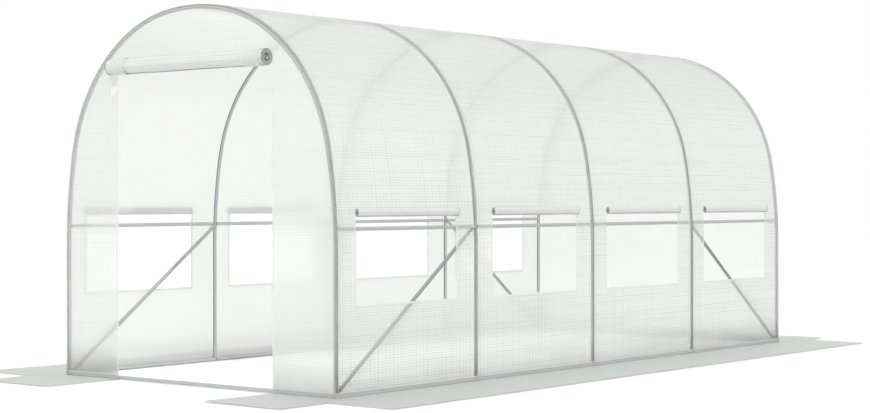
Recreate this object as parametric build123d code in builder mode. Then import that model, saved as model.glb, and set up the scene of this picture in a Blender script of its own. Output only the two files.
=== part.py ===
"""A small walk-in polytunnel: five steel hoops under a reinforced film cover.

Millimetres. X runs across the tunnel, Y along it with the doorway at -Y, Z up.
The origin is on the ground, at the middle of the tunnel.
"""

import os
from math import cos, radians, sin, sqrt

from build123d import *

os.makedirs("parts", exist_ok=True)

# Driving dimensions.

# The frame, measured over the outside of the tubes.
tunnel_length = 4500.0
tunnel_width = 2000.0
bays = 4
tube_diameter = 20.0
tube_wall = 0.7
tube_sides = 8

# A hoop leg stands straight, then leans in along the haunch, turns over the
# shoulder and flattens towards the crown.
leg_height = 700.0
haunch_radius = 2944.0
haunch_angle = 10.4
shoulder_radius = 917.0
shoulder_angle = 70.5

rail_height = 825.0

# The braces are tubes with their ends pressed flat, rounded and drilled.
brace_tab_width = 22.0
brace_tab_thickness = 3.0
brace_tab_length = 42.0
brace_taper_length = 30.0
brace_bolt_diameter = 7.0

# The cover, drawn thicker than the real film.
film_thickness = 2.5
seam_height = 1000.0
hem_width = 18.0
hem_thickness = 1.2

# The windows sit a little forward of the middle of each bay.
window_width = 800.0
window_shift = -25.0
window_sill = 450.0
window_head = 905.0
window_roll_diameter = 44.0
window_roll_overhang = 5.0

door_width = 1150.0
door_head = 1683.0
door_roll_diameter = 90.0
door_roll_overhang = 5.0

# The flaps that lie on the ground.
side_flap_width = 500.0
side_flap_front_overrun = 165.0
side_flap_rear_overrun = 265.0
end_flap_width = 490.0
end_flap_overrun = 95.0

# Clearances between neighbours.
touch = 0.3
film_gap = 0.6

# Sizes that follow.

half_width = tunnel_width / 2
half_length = tunnel_length / 2
bay = (tunnel_length - tube_diameter) / bays
crown_start = radians(haunch_angle + shoulder_angle)
crown_angle = 90 - haunch_angle - shoulder_angle
crown_radius = (
    half_width
    - haunch_radius * (1 - cos(radians(haunch_angle)))
    - shoulder_radius * (cos(radians(haunch_angle)) - cos(crown_start))
) / cos(crown_start)
tunnel_height = (
    leg_height
    + haunch_radius * sin(radians(haunch_angle))
    + shoulder_radius * (sin(crown_start) - sin(radians(haunch_angle)))
    + crown_radius * (1 - sin(crown_start))
)
hoop_positions = [-half_length + tube_diameter / 2 + bay * i for i in range(bays + 1)]
window_centres = [y + bay / 2 + window_shift for y in hoop_positions[:-1]]

film_inside = film_gap
film_outside = film_gap + film_thickness
cover_half_length = half_length + film_outside


def side_at(height, outset):
    """Distance from the middle plane to the side of the arch, outset from the hoops."""
    rise = max(height - leg_height, 0)
    return half_width - haunch_radius + sqrt((haunch_radius + outset) ** 2 - rise**2)


def section(y):
    """A plane across the tunnel whose sketches read as seen from the doorway."""
    return Plane(origin=(0, y, 0), x_dir=(1, 0, 0), z_dir=(0, -1, 0))


def half_arch(outset, foot=0.0):
    """Draws the right half of the hoop line, outset from the outside of the tubes."""
    leg = Line((half_width + outset, foot), (half_width + outset, leg_height))
    haunch = JernArc(leg @ 1, leg % 1, haunch_radius + outset, haunch_angle)
    shoulder = JernArc(haunch @ 1, haunch % 1, shoulder_radius + outset, shoulder_angle)
    JernArc(shoulder @ 1, shoulder % 1, crown_radius + outset, crown_angle)


def arch_face(outset, mode=Mode.ADD):
    """Fills the area under the arch, down to the ground."""
    with BuildLine() as outline:
        half_arch(outset)
        mirror(about=Plane.YZ)
        Line((-half_width - outset, 0), (half_width + outset, 0))
    make_face(outline.edges(), mode=mode)


def bar_section(inset=0.0, mode=Mode.ADD):
    """A cut across a tube, filled: flat facets stand in for its round outside."""
    RegularPolygon(tube_diameter / 2 - inset, tube_sides, False, rotation=180 / tube_sides, mode=mode)


def tube_section():
    """A cut across a tube, hollow inside."""
    bar_section()
    bar_section(inset=tube_wall, mode=Mode.SUBTRACT)


def bay_tubes(x, height):
    """Adds a tube in each bay, from hoop to hoop, its axis at x and a height."""
    for hoop_y in hoop_positions[1:]:
        with BuildSketch(section(hoop_y - tube_diameter / 2 - touch)) as tube:
            with Locations((x, height)):
                tube_section()
        extrude(tube.sketch, amount=bay - tube_diameter - 2 * touch)


# Hoops.

hoop_names = ["hoop_1_front"] + [f"hoop_{i}" for i in range(2, bays + 1)] + [f"hoop_{bays + 1}_rear"]
for hoop_name, hoop_y in zip(hoop_names, hoop_positions):
    with BuildPart() as hoop:
        with BuildLine(section(hoop_y)) as hoop_line:
            half_arch(-tube_diameter / 2)
            mirror(about=Plane.YZ)
        with BuildSketch(Plane(origin=(half_width - tube_diameter / 2, hoop_y, 0))):
            bar_section()
        sweep(path=hoop_line.wires()[0])
    hoop.part.label = hoop_name
    export_step(hoop.part, f"parts/{hoop_name}.step")

# Rails along the tunnel, in the plane of the hoops and flush with their outside.

rail_x = side_at(rail_height + tube_diameter / 2, 0) - tube_diameter / 2
ground_rail_x = half_width - tube_diameter / 2
rail_places = {
    "side_rail_left": (-rail_x, rail_height),
    "side_rail_right": (rail_x, rail_height),
    "ridge_rail": (0, tunnel_height - tube_diameter / 2),
    "base_rail_left": (-ground_rail_x, tube_diameter / 2),
    "base_rail_right": (ground_rail_x, tube_diameter / 2),
}
for rail_name, (x, height) in rail_places.items():
    with BuildPart() as rail:
        bay_tubes(x, height)
    rail.part.label = rail_name
    export_step(rail.part, f"parts/{rail_name}.step")

# Diagonal braces in the end bays, bolted to the inside of the hoop legs.

brace_seat = touch + brace_tab_thickness / 2
brace_foot_x = side_at(0, -tube_diameter) - brace_seat
brace_head_x = side_at(rail_height + brace_tab_width / 2, -tube_diameter) - brace_seat
brace_foot_y = half_length - brace_tab_width / 2
brace_foot_height = brace_tab_width / 2 + touch

# Rails on the ground across both ends, between the feet of the braces.

cross_rail_half_length = brace_foot_x - brace_seat
for rail_name, rail_y in {"base_rail_front": hoop_positions[0], "base_rail_rear": hoop_positions[-1]}.items():
    with BuildPart() as cross_rail:
        with BuildSketch(Plane.YZ.offset(-cross_rail_half_length)):
            with Locations((rail_y, tube_diameter / 2)):
                tube_section()
        extrude(amount=2 * cross_rail_half_length)
    cross_rail.part.label = rail_name
    export_step(cross_rail.part, f"parts/{rail_name}.step")


def brace_end():
    """Adds one flattened end, with its bolt hole at the start of the brace line."""
    with BuildSketch(Plane.XY.offset(brace_tab_length + brace_taper_length)) as round_end:
        bar_section()
    with BuildSketch(Plane.XY.offset(brace_tab_length)) as flat_end:
        Rectangle(brace_tab_thickness, brace_tab_width)
        chamfer(flat_end.vertices(), length=brace_tab_thickness / 4)
    loft(sections=[flat_end.sketch, round_end.sketch], ruled=True)
    with BuildSketch(Plane.YZ) as tab:
        Circle(brace_tab_width / 2)
        Rectangle(brace_tab_width, brace_tab_length, align=(Align.CENTER, Align.MIN))
        Circle(brace_bolt_diameter / 2, mode=Mode.SUBTRACT)
    extrude(tab.sketch, amount=brace_tab_thickness / 2, both=True)


for end_name, end in {"front": -1, "rear": 1}.items():
    for side_name, side in {"left": -1, "right": 1}.items():
        foot_bolt = Vector(side * brace_foot_x, end * brace_foot_y, brace_foot_height)
        head_bolt = Vector(side * brace_head_x, end * hoop_positions[-2], rail_height)
        bolt_spacing = (head_bolt - foot_bolt).length
        with BuildPart() as brace:
            with BuildSketch(Plane.XY.offset(brace_tab_length + brace_taper_length)):
                tube_section()
            extrude(amount=bolt_spacing / 2 - brace_tab_length - brace_taper_length)
            brace_end()
            mirror(about=Plane.XY.offset(bolt_spacing / 2))
        brace_line = Plane(origin=foot_bolt, x_dir=(1, 0, 0), z_dir=head_bolt - foot_bolt)
        placed_brace = brace_line * brace.part
        placed_brace.label = f"brace_{end_name}_{side_name}"
        export_step(placed_brace, f"parts/brace_{end_name}_{side_name}.step")

# Cover: roof and side walls.

with BuildPart() as cover_roof:
    with BuildSketch(section(cover_half_length)):
        arch_face(film_outside)
        arch_face(film_inside, mode=Mode.SUBTRACT)
        Rectangle(2 * tunnel_width, seam_height, align=(Align.CENTER, Align.MIN), mode=Mode.SUBTRACT)
    extrude(amount=2 * cover_half_length)
cover_roof.part.label = "cover_roof"
export_step(cover_roof.part, "parts/cover_roof.step")

window_height = window_head - window_sill
window_middle = (window_head + window_sill) / 2


def side_strip(side, inner, outer, bottom, top):
    """Sketches one side of the arch between two outsets and two heights."""
    arch_face(outer)
    arch_face(inner, mode=Mode.SUBTRACT)
    with Locations((side * half_width, (bottom + top) / 2)):
        Rectangle(tunnel_width, top - bottom, mode=Mode.INTERSECT)


for side_name, side in {"left": -1, "right": 1}.items():
    with BuildPart() as side_wall:
        with BuildSketch(section(cover_half_length)):
            side_strip(side, film_inside, film_outside, 0, seam_height - touch)
        extrude(amount=2 * cover_half_length)
        with BuildSketch(Plane.YZ.offset(side * half_width)):
            with Locations([(y, window_middle) for y in window_centres]):
                Rectangle(window_width, window_height)
        extrude(amount=4 * tube_diameter, both=True, mode=Mode.SUBTRACT)
    side_wall.part.label = f"cover_wall_{side_name}"
    export_step(side_wall.part, f"parts/cover_wall_{side_name}.step")

# Hems round the windows, sewn on the outside of the wall.
for side_name, side in {"left": -1, "right": 1}.items():
    with BuildPart() as window_hems:
        for y in window_centres:
            with BuildSketch(section(y + window_width / 2 + hem_width)):
                side_strip(
                    side,
                    film_outside + touch,
                    film_outside + touch + hem_thickness,
                    window_sill - hem_width,
                    window_head,
                )
            extrude(amount=window_width + 2 * hem_width)
        with BuildSketch(Plane.YZ.offset(side * half_width)):
            with Locations([(y, window_middle) for y in window_centres]):
                Rectangle(window_width, window_height)
        extrude(amount=4 * tube_diameter, both=True, mode=Mode.SUBTRACT)
    window_hems.part.label = f"window_hems_{side_name}"
    export_step(window_hems.part, f"parts/window_hems_{side_name}.step")

# End walls.

wall_planes = {"front": -half_length - film_gap, "rear": half_length + film_outside}
for end_name, wall_y in wall_planes.items():
    with BuildPart() as end_wall:
        with BuildSketch(section(wall_y)):
            arch_face(0)
            if end_name == "front":
                Rectangle(door_width, door_head, align=(Align.CENTER, Align.MIN), mode=Mode.SUBTRACT)
        extrude(amount=film_thickness)
    end_wall.part.label = f"end_wall_{end_name}"
    export_step(end_wall.part, f"parts/end_wall_{end_name}.step")

# Rolled-up windows and door.

window_roll_length = window_width + 2 * window_roll_overhang
window_roll_x = side_at(window_head, film_outside + 2 * hem_thickness + window_roll_diameter / 2)
for side_name, side in {"left": -1, "right": 1}.items():
    for number, y in enumerate(window_centres, start=1):
        with BuildPart() as window_roll:
            with BuildSketch(section(y + window_roll_length / 2)):
                with Locations((side * window_roll_x, window_head)):
                    Circle(window_roll_diameter / 2)
            extrude(amount=window_roll_length)
        window_roll.part.label = f"window_roll_{side_name}_{number}"
        export_step(window_roll.part, f"parts/window_roll_{side_name}_{number}.step")

door_roll_length = door_width + 2 * door_roll_overhang
door_roll_y = -half_length - film_outside - touch - door_roll_diameter / 2
with BuildPart() as door_roll:
    with BuildSketch(Plane.YZ.offset(-door_roll_length / 2)):
        with Locations((door_roll_y, door_head)):
            Circle(door_roll_diameter / 2)
    extrude(amount=door_roll_length)
door_roll.part.label = "door_roll"
export_step(door_roll.part, "parts/door_roll.step")

# Flaps lying on the ground, for earth or stones.

flap_inside = half_width + film_outside + touch
side_flap_front = -half_length - side_flap_front_overrun
side_flap_rear = half_length + side_flap_rear_overrun
for side_name, side in {"left": -1, "right": 1}.items():
    with BuildPart() as side_flap:
        with BuildSketch():
            with Locations((side * (flap_inside + side_flap_width / 2), (side_flap_front + side_flap_rear) / 2)):
                Rectangle(side_flap_width, side_flap_rear - side_flap_front)
        extrude(amount=film_thickness)
    side_flap.part.label = f"flap_{side_name}"
    export_step(side_flap.part, f"parts/flap_{side_name}.step")

end_flap_inside = half_length + film_outside + touch
end_flap_outside = end_flap_inside + end_flap_width
end_flap_half_width = half_width + end_flap_overrun


def end_flap_half(inner_x, notch):
    """Sketches the right half of an end flap, notched round the end of the side flap."""
    with BuildLine() as outline:
        Polyline(
            (inner_x, end_flap_inside),
            (half_width, end_flap_inside),
            (half_width, notch + touch),
            (end_flap_half_width, notch + touch),
            (end_flap_half_width, end_flap_outside),
            (inner_x, end_flap_outside),
            close=True,
        )
    make_face(outline.edges())


with BuildPart() as flap_rear:
    with BuildSketch():
        end_flap_half(0, side_flap_rear)
        mirror(about=Plane.YZ)
    extrude(amount=film_thickness)
flap_rear.part.label = "flap_rear"
export_step(flap_rear.part, "parts/flap_rear.step")

# The front flaps stop at the doorway.
for side_name, side in {"left": -1, "right": 1}.items():
    with BuildPart() as front_flap:
        with BuildSketch(Plane(origin=(0, 0, 0), x_dir=(side, 0, 0), z_dir=(0, 0, side))):
            end_flap_half(door_width / 2, -side_flap_front)
        extrude(amount=side * film_thickness)
        mirror(about=Plane.XZ, mode=Mode.REPLACE)
    front_flap.part.label = f"flap_front_{side_name}"
    export_step(front_flap.part, f"parts/flap_front_{side_name}.step")
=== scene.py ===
# %% [markdown]
# # A walk-in polytunnel
# Five bent steel hoops, a few rails and four braces carry a cover of mesh-reinforced film. The
# steel is already modelled to size, so it is loaded first and stays where it is. Everything soft,
# the film, its hems, rolls and flaps, is made here around it, in metres, in the same frame.

# %% Load the frame
import math

import bpy
import numpy as np
from mathutils import Matrix, Vector


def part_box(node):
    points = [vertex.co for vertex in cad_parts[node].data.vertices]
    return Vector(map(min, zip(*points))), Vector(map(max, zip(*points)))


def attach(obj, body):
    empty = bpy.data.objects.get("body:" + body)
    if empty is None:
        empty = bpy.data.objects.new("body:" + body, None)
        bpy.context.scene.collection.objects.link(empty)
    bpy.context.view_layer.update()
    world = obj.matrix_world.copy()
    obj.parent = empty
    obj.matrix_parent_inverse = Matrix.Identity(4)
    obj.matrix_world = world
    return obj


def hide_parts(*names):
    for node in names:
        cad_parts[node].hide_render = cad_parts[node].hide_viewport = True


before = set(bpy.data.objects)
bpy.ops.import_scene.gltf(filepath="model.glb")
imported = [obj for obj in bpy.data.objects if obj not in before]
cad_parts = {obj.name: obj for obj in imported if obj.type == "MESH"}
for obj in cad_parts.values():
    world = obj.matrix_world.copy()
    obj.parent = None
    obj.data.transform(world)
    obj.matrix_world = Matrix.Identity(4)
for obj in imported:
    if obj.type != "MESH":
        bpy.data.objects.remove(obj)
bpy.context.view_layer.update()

# %% [markdown]
# ## The camera
# A camera is a place, three angles and a lens. The eye stands about as high as the rails, off the
# front right corner, and looks level, which is why all upright tubes stay upright in the picture.
# The three angles are turned into a matrix whose columns are right, up and backwards.

# %% Camera
EYE = (6.9018, -8.8542, 0.9698)
YAW, PITCH, ROLL = (math.radians(angle) for angle in (38.6747, -0.2195, -0.0558))
PICTURE_WIDTH = 870
FOCAL_PIXELS = 1819.08
SENSOR_WIDTH = 36.0


def camera_axes(yaw, pitch, roll):
    """Right, up and backwards: the level axes are turned by yaw and pitch, then rolled."""
    flat = math.cos(pitch)
    ahead = Vector((-math.sin(yaw) * flat, math.cos(yaw) * flat, math.sin(pitch)))
    level = Vector((math.cos(yaw), math.sin(yaw), 0))
    upright = level.cross(ahead)
    right = level * math.cos(roll) + upright * math.sin(roll)
    up = upright * math.cos(roll) - level * math.sin(roll)
    return right, up, -ahead


def stand(name, data):
    """An object with the given data, put into the scene."""
    thing = bpy.data.objects.new(name, data)
    bpy.context.scene.collection.objects.link(thing)
    return thing


camera = stand("camera", bpy.data.cameras.new("camera"))
camera.data.sensor_width = SENSOR_WIDTH
camera.data.lens = FOCAL_PIXELS * SENSOR_WIDTH / PICTURE_WIDTH
camera.data.clip_end = 200
turned = Matrix(camera_axes(YAW, PITCH, ROLL)).transposed().to_4x4()
camera.matrix_world = Matrix.Translation(EYE) @ turned
bpy.context.scene.camera = camera
bpy.context.scene.view_settings.view_transform = "Standard"
print("lens:", round(camera.data.lens, 2), "mm")

# %% [markdown]
# ## Laying nodes
# The sky and each material are small programs made of nodes. This helper keeps them short: put()
# adds one node, fills or links its inputs and hands over one output, and sum() is one step of
# arithmetic on numbers or on other outputs. The other calls are steps that come up often.

# %% A helper for nodes


class Nodes:
    """A tree of nodes, and the calls that fill it."""

    def __init__(self, tree):
        self.tree = tree
        self.tree.nodes.clear()

    def put(self, kind, inputs=None, out=0, **settings):
        """Adds a node, sets its options, fills or links its inputs and hands over an output."""
        node = self.tree.nodes.new(kind)
        for name, value in settings.items():
            setattr(node, name, value)
        for name, value in (inputs or {}).items():
            socket = node.inputs[name]
            if isinstance(value, bpy.types.NodeSocket):
                self.tree.links.new(value, socket)
            else:
                socket.default_value = (*value, 1) if socket.type == "RGBA" else value
        return node.outputs[out] if node.outputs else None

    def sum(self, operation, *values):
        """One arithmetic step, such as ADD or DIVIDE, on up to three values."""
        return self.put("ShaderNodeMath", dict(enumerate(values)), operation=operation)

    def times(self, first, second):
        """The product of two values."""
        return self.sum("MULTIPLY", first, second)

    def rest(self, value):
        """What the value leaves of 1."""
        return self.sum("SUBTRACT", 1.0, value)

    def where(self, mask, factor):
        """The factor where the mask is 1, and 1 where the mask is 0."""
        return self.sum("MULTIPLY_ADD", mask, self.sum("SUBTRACT", factor, 1.0), 1.0)

    def ramp(self, value, start, end, low=0.0, high=1.0, kind="LINEAR"):
        """Goes from low to high while the value goes from start to end, and is level outside."""
        return self.put("ShaderNodeMapRange", {
            "Value": value, "From Min": start, "From Max": end, "To Min": low, "To Max": high},
            interpolation_type=kind)

    def blend(self, share, first, second):
        """A colour that goes from the first to the second as share goes from 0 to 1."""
        return self.put("ShaderNodeMix", {0: share, 6: first, 7: second}, 2, data_type="RGBA")

    def mix(self, share, first, second):
        """A surface that goes from the first to the second as share goes from 0 to 1."""
        return self.put("ShaderNodeMixShader", {0: share, 1: first, 2: second})

    def axis(self, place, index):
        """One of a place's three numbers."""
        return self.put("ShaderNodeSeparateXYZ", {0: place}, index)

    def ray(self, kind):
        """1 for one kind of ray, such as Camera or Shadow, and 0 for the others."""
        return self.put("ShaderNodeLightPath", out=f"Is {kind} Ray")


class Finish(Nodes):
    """One material."""

    def __init__(self, name):
        self.material = bpy.data.materials.new(name)
        self.material.use_nodes = True
        super().__init__(self.material.node_tree)

    def cloth(self, name="cloth"):
        """The place on the flat cloth, in metres."""
        return self.put("ShaderNodeUVMap", uv_map=name)

    def space(self):
        """The place in the object's own space, in metres."""
        return self.put("ShaderNodeTexCoord", out="Object")

    def noise(self, place, scale, detail):
        """Cloudy values about one half: the larger the scale, the finer the clouds."""
        return self.put("ShaderNodeTexNoise", {"Vector": place, "Scale": scale, "Detail": detail})

    def bump(self, height, strength, distance):
        """The slant that a height gives the surface."""
        return self.put("ShaderNodeBump", {"Height": height, "Strength": strength, "Distance": distance})

    def body(self, colour, roughness, relief, more=()):
        """A solid surface."""
        return self.put("ShaderNodeBsdfPrincipled", {
            "Base Color": colour, "Roughness": roughness, "Normal": relief, **dict(more)})

    def show(self, surface):
        """Gives the material its surface and hands the material over."""
        self.put("ShaderNodeOutputMaterial", {"Surface": surface})
        return self.material


def scaled(colour, factor):
    """A lighter or darker colour."""
    return tuple(factor * part for part in colour)


print("node helper ready")

# %% [markdown]
# ## Floor, sky and sun
# The tunnel stands on a plain white floor under an even white sky, like a product on a sheet of
# paper. The camera is shown a sky of exactly 1, which is white, while the light that the sky gives
# is a little lower, so that the pale film keeps its tone. A soft sun from the front right gives
# the roof and the walls their slight differences.

# %% Floor and light
SKY_LIGHT = 0.80
SUN_LIGHT = 1.60
SUN_ANGLE = math.radians(4)
SUN_TRAVEL = Vector((-1.185, 1.0, -1.29))
FLOOR_SIZE = 60.0
FLOOR_DROP = 0.004
PAPER_LIFT = 0.03

world = bpy.data.worlds.new("sky")
bpy.context.scene.world = world
world.use_nodes = True
sky = Nodes(world.node_tree)
seen = sky.sum("MAXIMUM", sky.sum("MAXIMUM", sky.ray("Camera"), sky.ray("Transmission")), sky.ray("Glossy"))
backdrop = sky.put("ShaderNodeBackground", {
    "Color": (1, 1, 1), "Strength": sky.ramp(seen, 0.0, 1.0, SKY_LIGHT, 1.0)})
sky.put("ShaderNodeOutputWorld", {"Surface": backdrop})

sun = stand("sun", bpy.data.lights.new("sun", "SUN"))
sun.data.energy = SUN_LIGHT
sun.data.angle = SUN_ANGLE
sun.rotation_mode = "QUATERNION"
sun.rotation_quaternion = SUN_TRAVEL.to_track_quat("-Z", "Y")

paper = Finish("paper_floor")
speck = paper.put("ShaderNodeTexNoise", {"Scale": 3.0, "Detail": 3.0})
matt = paper.put("ShaderNodeBsdfDiffuse", {
    "Color": paper.blend(speck, (0.92, 0.92, 0.92), (0.95, 0.95, 0.95))})
lift = paper.put("ShaderNodeEmission", {"Strength": paper.times(paper.ray("Camera"), PAPER_LIFT)})
floor_mesh = bpy.data.meshes.new("floor")
half = FLOOR_SIZE / 2
floor_mesh.from_pydata(
    [(x, y, -FLOOR_DROP) for x, y in ((-half, -half), (half, -half), (half, half), (-half, half))],
    [], [(0, 1, 2, 3)])
floor_mesh.materials.append(paper.show(paper.put("ShaderNodeAddShader", {0: matt, 1: lift})))
floor = stand("floor", floor_mesh)
print("floor", FLOOR_SIZE, "m, sky", SKY_LIGHT, "sun", SUN_LIGHT)

# %% [markdown]
# ## Surfaces from grids
# Every soft piece is a grid of points worked out with numpy: rows run one way over the surface,
# columns the other. This helper turns such a grid into a mesh. A second grid holds the place on
# the flat cloth of each point, in metres, which is what the mesh of threads is drawn on. Cells
# that are cut away, such as windows, are left out by a mask.

# %% A helper for meshes


def together(*grids):
    """Grids or numbers side by side, as the parts of one grid of places."""
    return np.stack(np.broadcast_arrays(*grids), axis=-1)


def walk(path):
    """The length walked along a path up to each of its points."""
    return np.concatenate([[0], np.cumsum(np.linalg.norm(np.diff(path, axis=0), axis=1))])


def grid_faces(rows, columns, first=0, kept=None):
    """Corner numbers of each cell: a point, the next in its row, and the same in the next row."""
    start = np.arange(rows - 1)[:, None] * columns + np.arange(columns - 1)[None, :]
    faces = together(start, start + 1, start + columns + 1, start + columns) + first
    return faces[kept] if kept is not None else faces.reshape(-1, 4)


def make_piece(name, grids, material, replaces=(), rim=None):
    """One object from grids, each (points, flat places, kept cells), joined where points meet.

    The rim, where one is given, is each point's distance from the sheet's free edge.
    """
    corners, places, faces = [], [], []
    count = 0
    for points, flat, kept in grids:
        rows, columns = points.shape[:2]
        faces.append(grid_faces(rows, columns, count, kept))
        corners.append(points.reshape(-1, 3))
        places.append(flat.reshape(-1, 2))
        count += rows * columns
    corners, places, faces = (np.concatenate(parts) for parts in (corners, places, faces))
    welded, index = np.unique(np.round(corners, 6), axis=0, return_inverse=True)
    used = np.zeros(len(welded), bool)
    used[index.reshape(-1)[faces]] = True
    number = np.cumsum(used) - 1
    mesh = bpy.data.meshes.new(name)
    mesh.vertices.add(int(used.sum()))
    mesh.vertices.foreach_set("co", welded[used].ravel())
    mesh.loops.add(faces.size)
    mesh.loops.foreach_set("vertex_index", number[index.reshape(-1)[faces]].ravel())
    mesh.polygons.add(len(faces))
    mesh.polygons.foreach_set("loop_start", np.arange(0, faces.size, 4))
    mesh.polygons.foreach_set("use_smooth", np.ones(len(faces), bool))
    mesh.uv_layers.new(name="cloth").data.foreach_set("uv", places[faces].ravel())
    if rim is not None:
        mesh.uv_layers.new(name="rim").data.foreach_set("uv", together(rim.ravel()[faces], 0.0).ravel())
    mesh.update(calc_edges=True)
    mesh.validate()
    mesh.materials.append(material)
    piece = stand(name, mesh)
    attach(piece, "root")
    if replaces:
        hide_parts(*replaces)
    print(name, len(mesh.vertices), "points", len(faces), "faces")
    return piece


def steps(marks, longest):
    """Numbers from the first mark to the last through every mark, at most so far apart."""
    marks = sorted(marks)
    parts = [np.linspace(a, b, max(1, math.ceil((b - a) / longest - 1e-9)) + 1)[:-1]
             for a, b in zip(marks, marks[1:])]
    return np.concatenate([*parts, [marks[-1]]])


# %% [markdown]
# ## The line of the arch
# A hoop stands straight, leans in along a wide arc, turns over the shoulder on a tight one and
# flattens towards the crown. The film follows the same four stretches a millimetre further out.
# Measuring along this line from the ground gives the film its flat width, and lets a window be
# cut at a true height.

# %% The arch
TUNNEL_LENGTH = 4.5
HALF_WIDTH = 1.0
LEG_HEIGHT = 0.700
HAUNCH_RADIUS = 2.944
SHOULDER_RADIUS = 0.917
HAUNCH_TURN = math.radians(10.4)
SHOULDER_TURN = math.radians(70.5)
TUBE = 0.020
BAYS = 4
RAIL_HEIGHT = 0.825
FILM_OFF = 0.0012

CROWN_START = HAUNCH_TURN + SHOULDER_TURN
CROWN_RADIUS = (HALF_WIDTH - HAUNCH_RADIUS * (1 - math.cos(HAUNCH_TURN))
                - SHOULDER_RADIUS * (math.cos(HAUNCH_TURN) - math.cos(CROWN_START))) / math.cos(CROWN_START)
HAUNCH_CENTRE = np.array([HALF_WIDTH - HAUNCH_RADIUS, LEG_HEIGHT])
SHOULDER_CENTRE = HAUNCH_CENTRE + (HAUNCH_RADIUS - SHOULDER_RADIUS) * np.array(
    [math.cos(HAUNCH_TURN), math.sin(HAUNCH_TURN)])
CROWN_CENTRE = SHOULDER_CENTRE + (SHOULDER_RADIUS - CROWN_RADIUS) * np.array(
    [math.cos(CROWN_START), math.sin(CROWN_START)])
HALF_LENGTH = TUNNEL_LENGTH / 2
HOOPS = np.linspace(-HALF_LENGTH + TUBE / 2, HALF_LENGTH - TUBE / 2, BAYS + 1)
BAY = float(HOOPS[1] - HOOPS[0])


def arch_lengths(outset):
    """Where each stretch ends, measured along the line from the ground."""
    turns = ((HAUNCH_RADIUS, HAUNCH_TURN), (SHOULDER_RADIUS, SHOULDER_TURN),
             (CROWN_RADIUS, math.pi / 2 - CROWN_START))
    return LEG_HEIGHT + np.cumsum([0.0] + [(radius + outset) * turn for radius, turn in turns])


def arch_line(girth, outset):
    """Point and outward direction at each length from the ground, on the right half.

    Below the leg's end the point rises straight. On an arc the angle is the length since the
    arc's start over its radius, and the point is the centre plus the radius along that angle.
    """
    girth = np.asarray(girth, float)
    ends = arch_lengths(outset)
    angle = np.select(
        [girth <= ends[0], girth <= ends[1], girth <= ends[2]],
        [0 * girth,
         (girth - ends[0]) / (HAUNCH_RADIUS + outset),
         HAUNCH_TURN + (girth - ends[1]) / (SHOULDER_RADIUS + outset)],
        CROWN_START + (girth - ends[2]) / (CROWN_RADIUS + outset))
    out = together(np.cos(angle), np.sin(angle))
    on_arc = [girth <= ends[1], girth <= ends[2]]
    centre = np.where(on_arc[0][..., None], HAUNCH_CENTRE,
                      np.where(on_arc[1][..., None], SHOULDER_CENTRE, CROWN_CENTRE))
    radius = np.select(on_arc, [HAUNCH_RADIUS, SHOULDER_RADIUS], CROWN_RADIUS) + outset
    leg = together(HALF_WIDTH + outset, girth)
    return np.where((girth <= ends[0])[..., None], leg, centre + radius[..., None] * out), out


def whole_arch(girth, outset, y):
    """The arch from foot to foot at a place along the tunnel, and its outward directions.

    The left half mirrors the right one and is walked downwards.
    """
    line, out = (np.concatenate([half, half[-2::-1] * [-1, 1]]) for half in arch_line(girth, outset))
    return together(line[:, 0], y, line[:, 1]), together(out[:, 0], 0.0, out[:, 1])


def girth_at(height, outset=FILM_OFF):
    """Length along the line at a height on the leg or the haunch."""
    radius = HAUNCH_RADIUS + outset
    rise = max(height - LEG_HEIGHT, 0.0)
    return height if rise == 0.0 else LEG_HEIGHT + radius * math.asin(rise / radius)


HALF_GIRTH = float(arch_lengths(FILM_OFF)[-1])
CROWN_HEIGHT = float(arch_line(arch_lengths(0)[-1], 0)[0][1])
print("crown", round(CROWN_HEIGHT, 4), "m, film over the arch", round(2 * HALF_GIRTH, 3), "m")

# %% [markdown]
# ## The film
# The cover is a hazy film with a mesh of threads laid into it. What touches it from behind shows
# sharp and dark, what stands further back fades away, as behind tracing paper. So the clear cells
# let most light pass but spread it a little: a refraction with hardly any bending and a very rough
# face. The threads are denser and scatter the light. They are drawn on the flat cloth, one stripe
# every pitch both ways. Sunlight that falls through is mostly spread, so the film casts a shadow.

# %% Film material
WEFT_PITCH, WEFT_WIDTH = 0.0138, 0.0048
WARP_PITCH, WARP_WIDTH = 0.0300, 0.0058
HAZE, HAZE_ROUGHNESS, HAZE_IOR = 0.86, 1.0, 1.035
RIM_WIDTH = 0.008
INSIDE_MESH = 0.12
# Painted shade on the film's inner face: darker above these heights and under the crown.
INNER_SHADE_HEIGHTS, INSIDE_TONE = (0.35, 0.60), 0.955
CROWN_HEIGHTS, CROWN_TONE = (1.50, 1.90), 0.92
MILKY_LOW, MILKY, MILKY_HIGH = 0.80, 0.50, 0.55
MILKY_HEIGHT = 0.30
RAIL_HEIGHTS = (RAIL_HEIGHT + 0.03, RAIL_HEIGHT + 0.07)
# Painted shade near the ground: the film's tone at its foot, rising to 1 at the given height.
GROUND_SHADE_HEIGHT, GROUND_SHADE_TONE = 0.18, 0.64
CREASE_PITCH, CREASE_WIDTH = 0.0310, 0.0024
CREASE_SHADE_COLOUR = (0.40, 0.41, 0.40)
FILM_GREEN = (0.988, 1.0, 0.982)


def nearest(finish, coordinate, pitch):
    """The distance to the nearest of many lines, which lie a pitch apart from half a pitch on."""
    phase = finish.sum("FRACT", finish.sum("DIVIDE", coordinate, pitch))
    return finish.times(finish.sum("ABSOLUTE", finish.sum("SUBTRACT", phase, 0.5)), pitch)


def stripes(finish, coordinate, pitch, width, soft):
    """1 on a line every pitch and 0 beside it, fading over the soft length on both sides."""
    away = nearest(finish, coordinate, pitch)
    return finish.ramp(away, width / 2 + soft, max(width / 2 - soft, 0.0), kind="SMOOTHSTEP")


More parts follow.
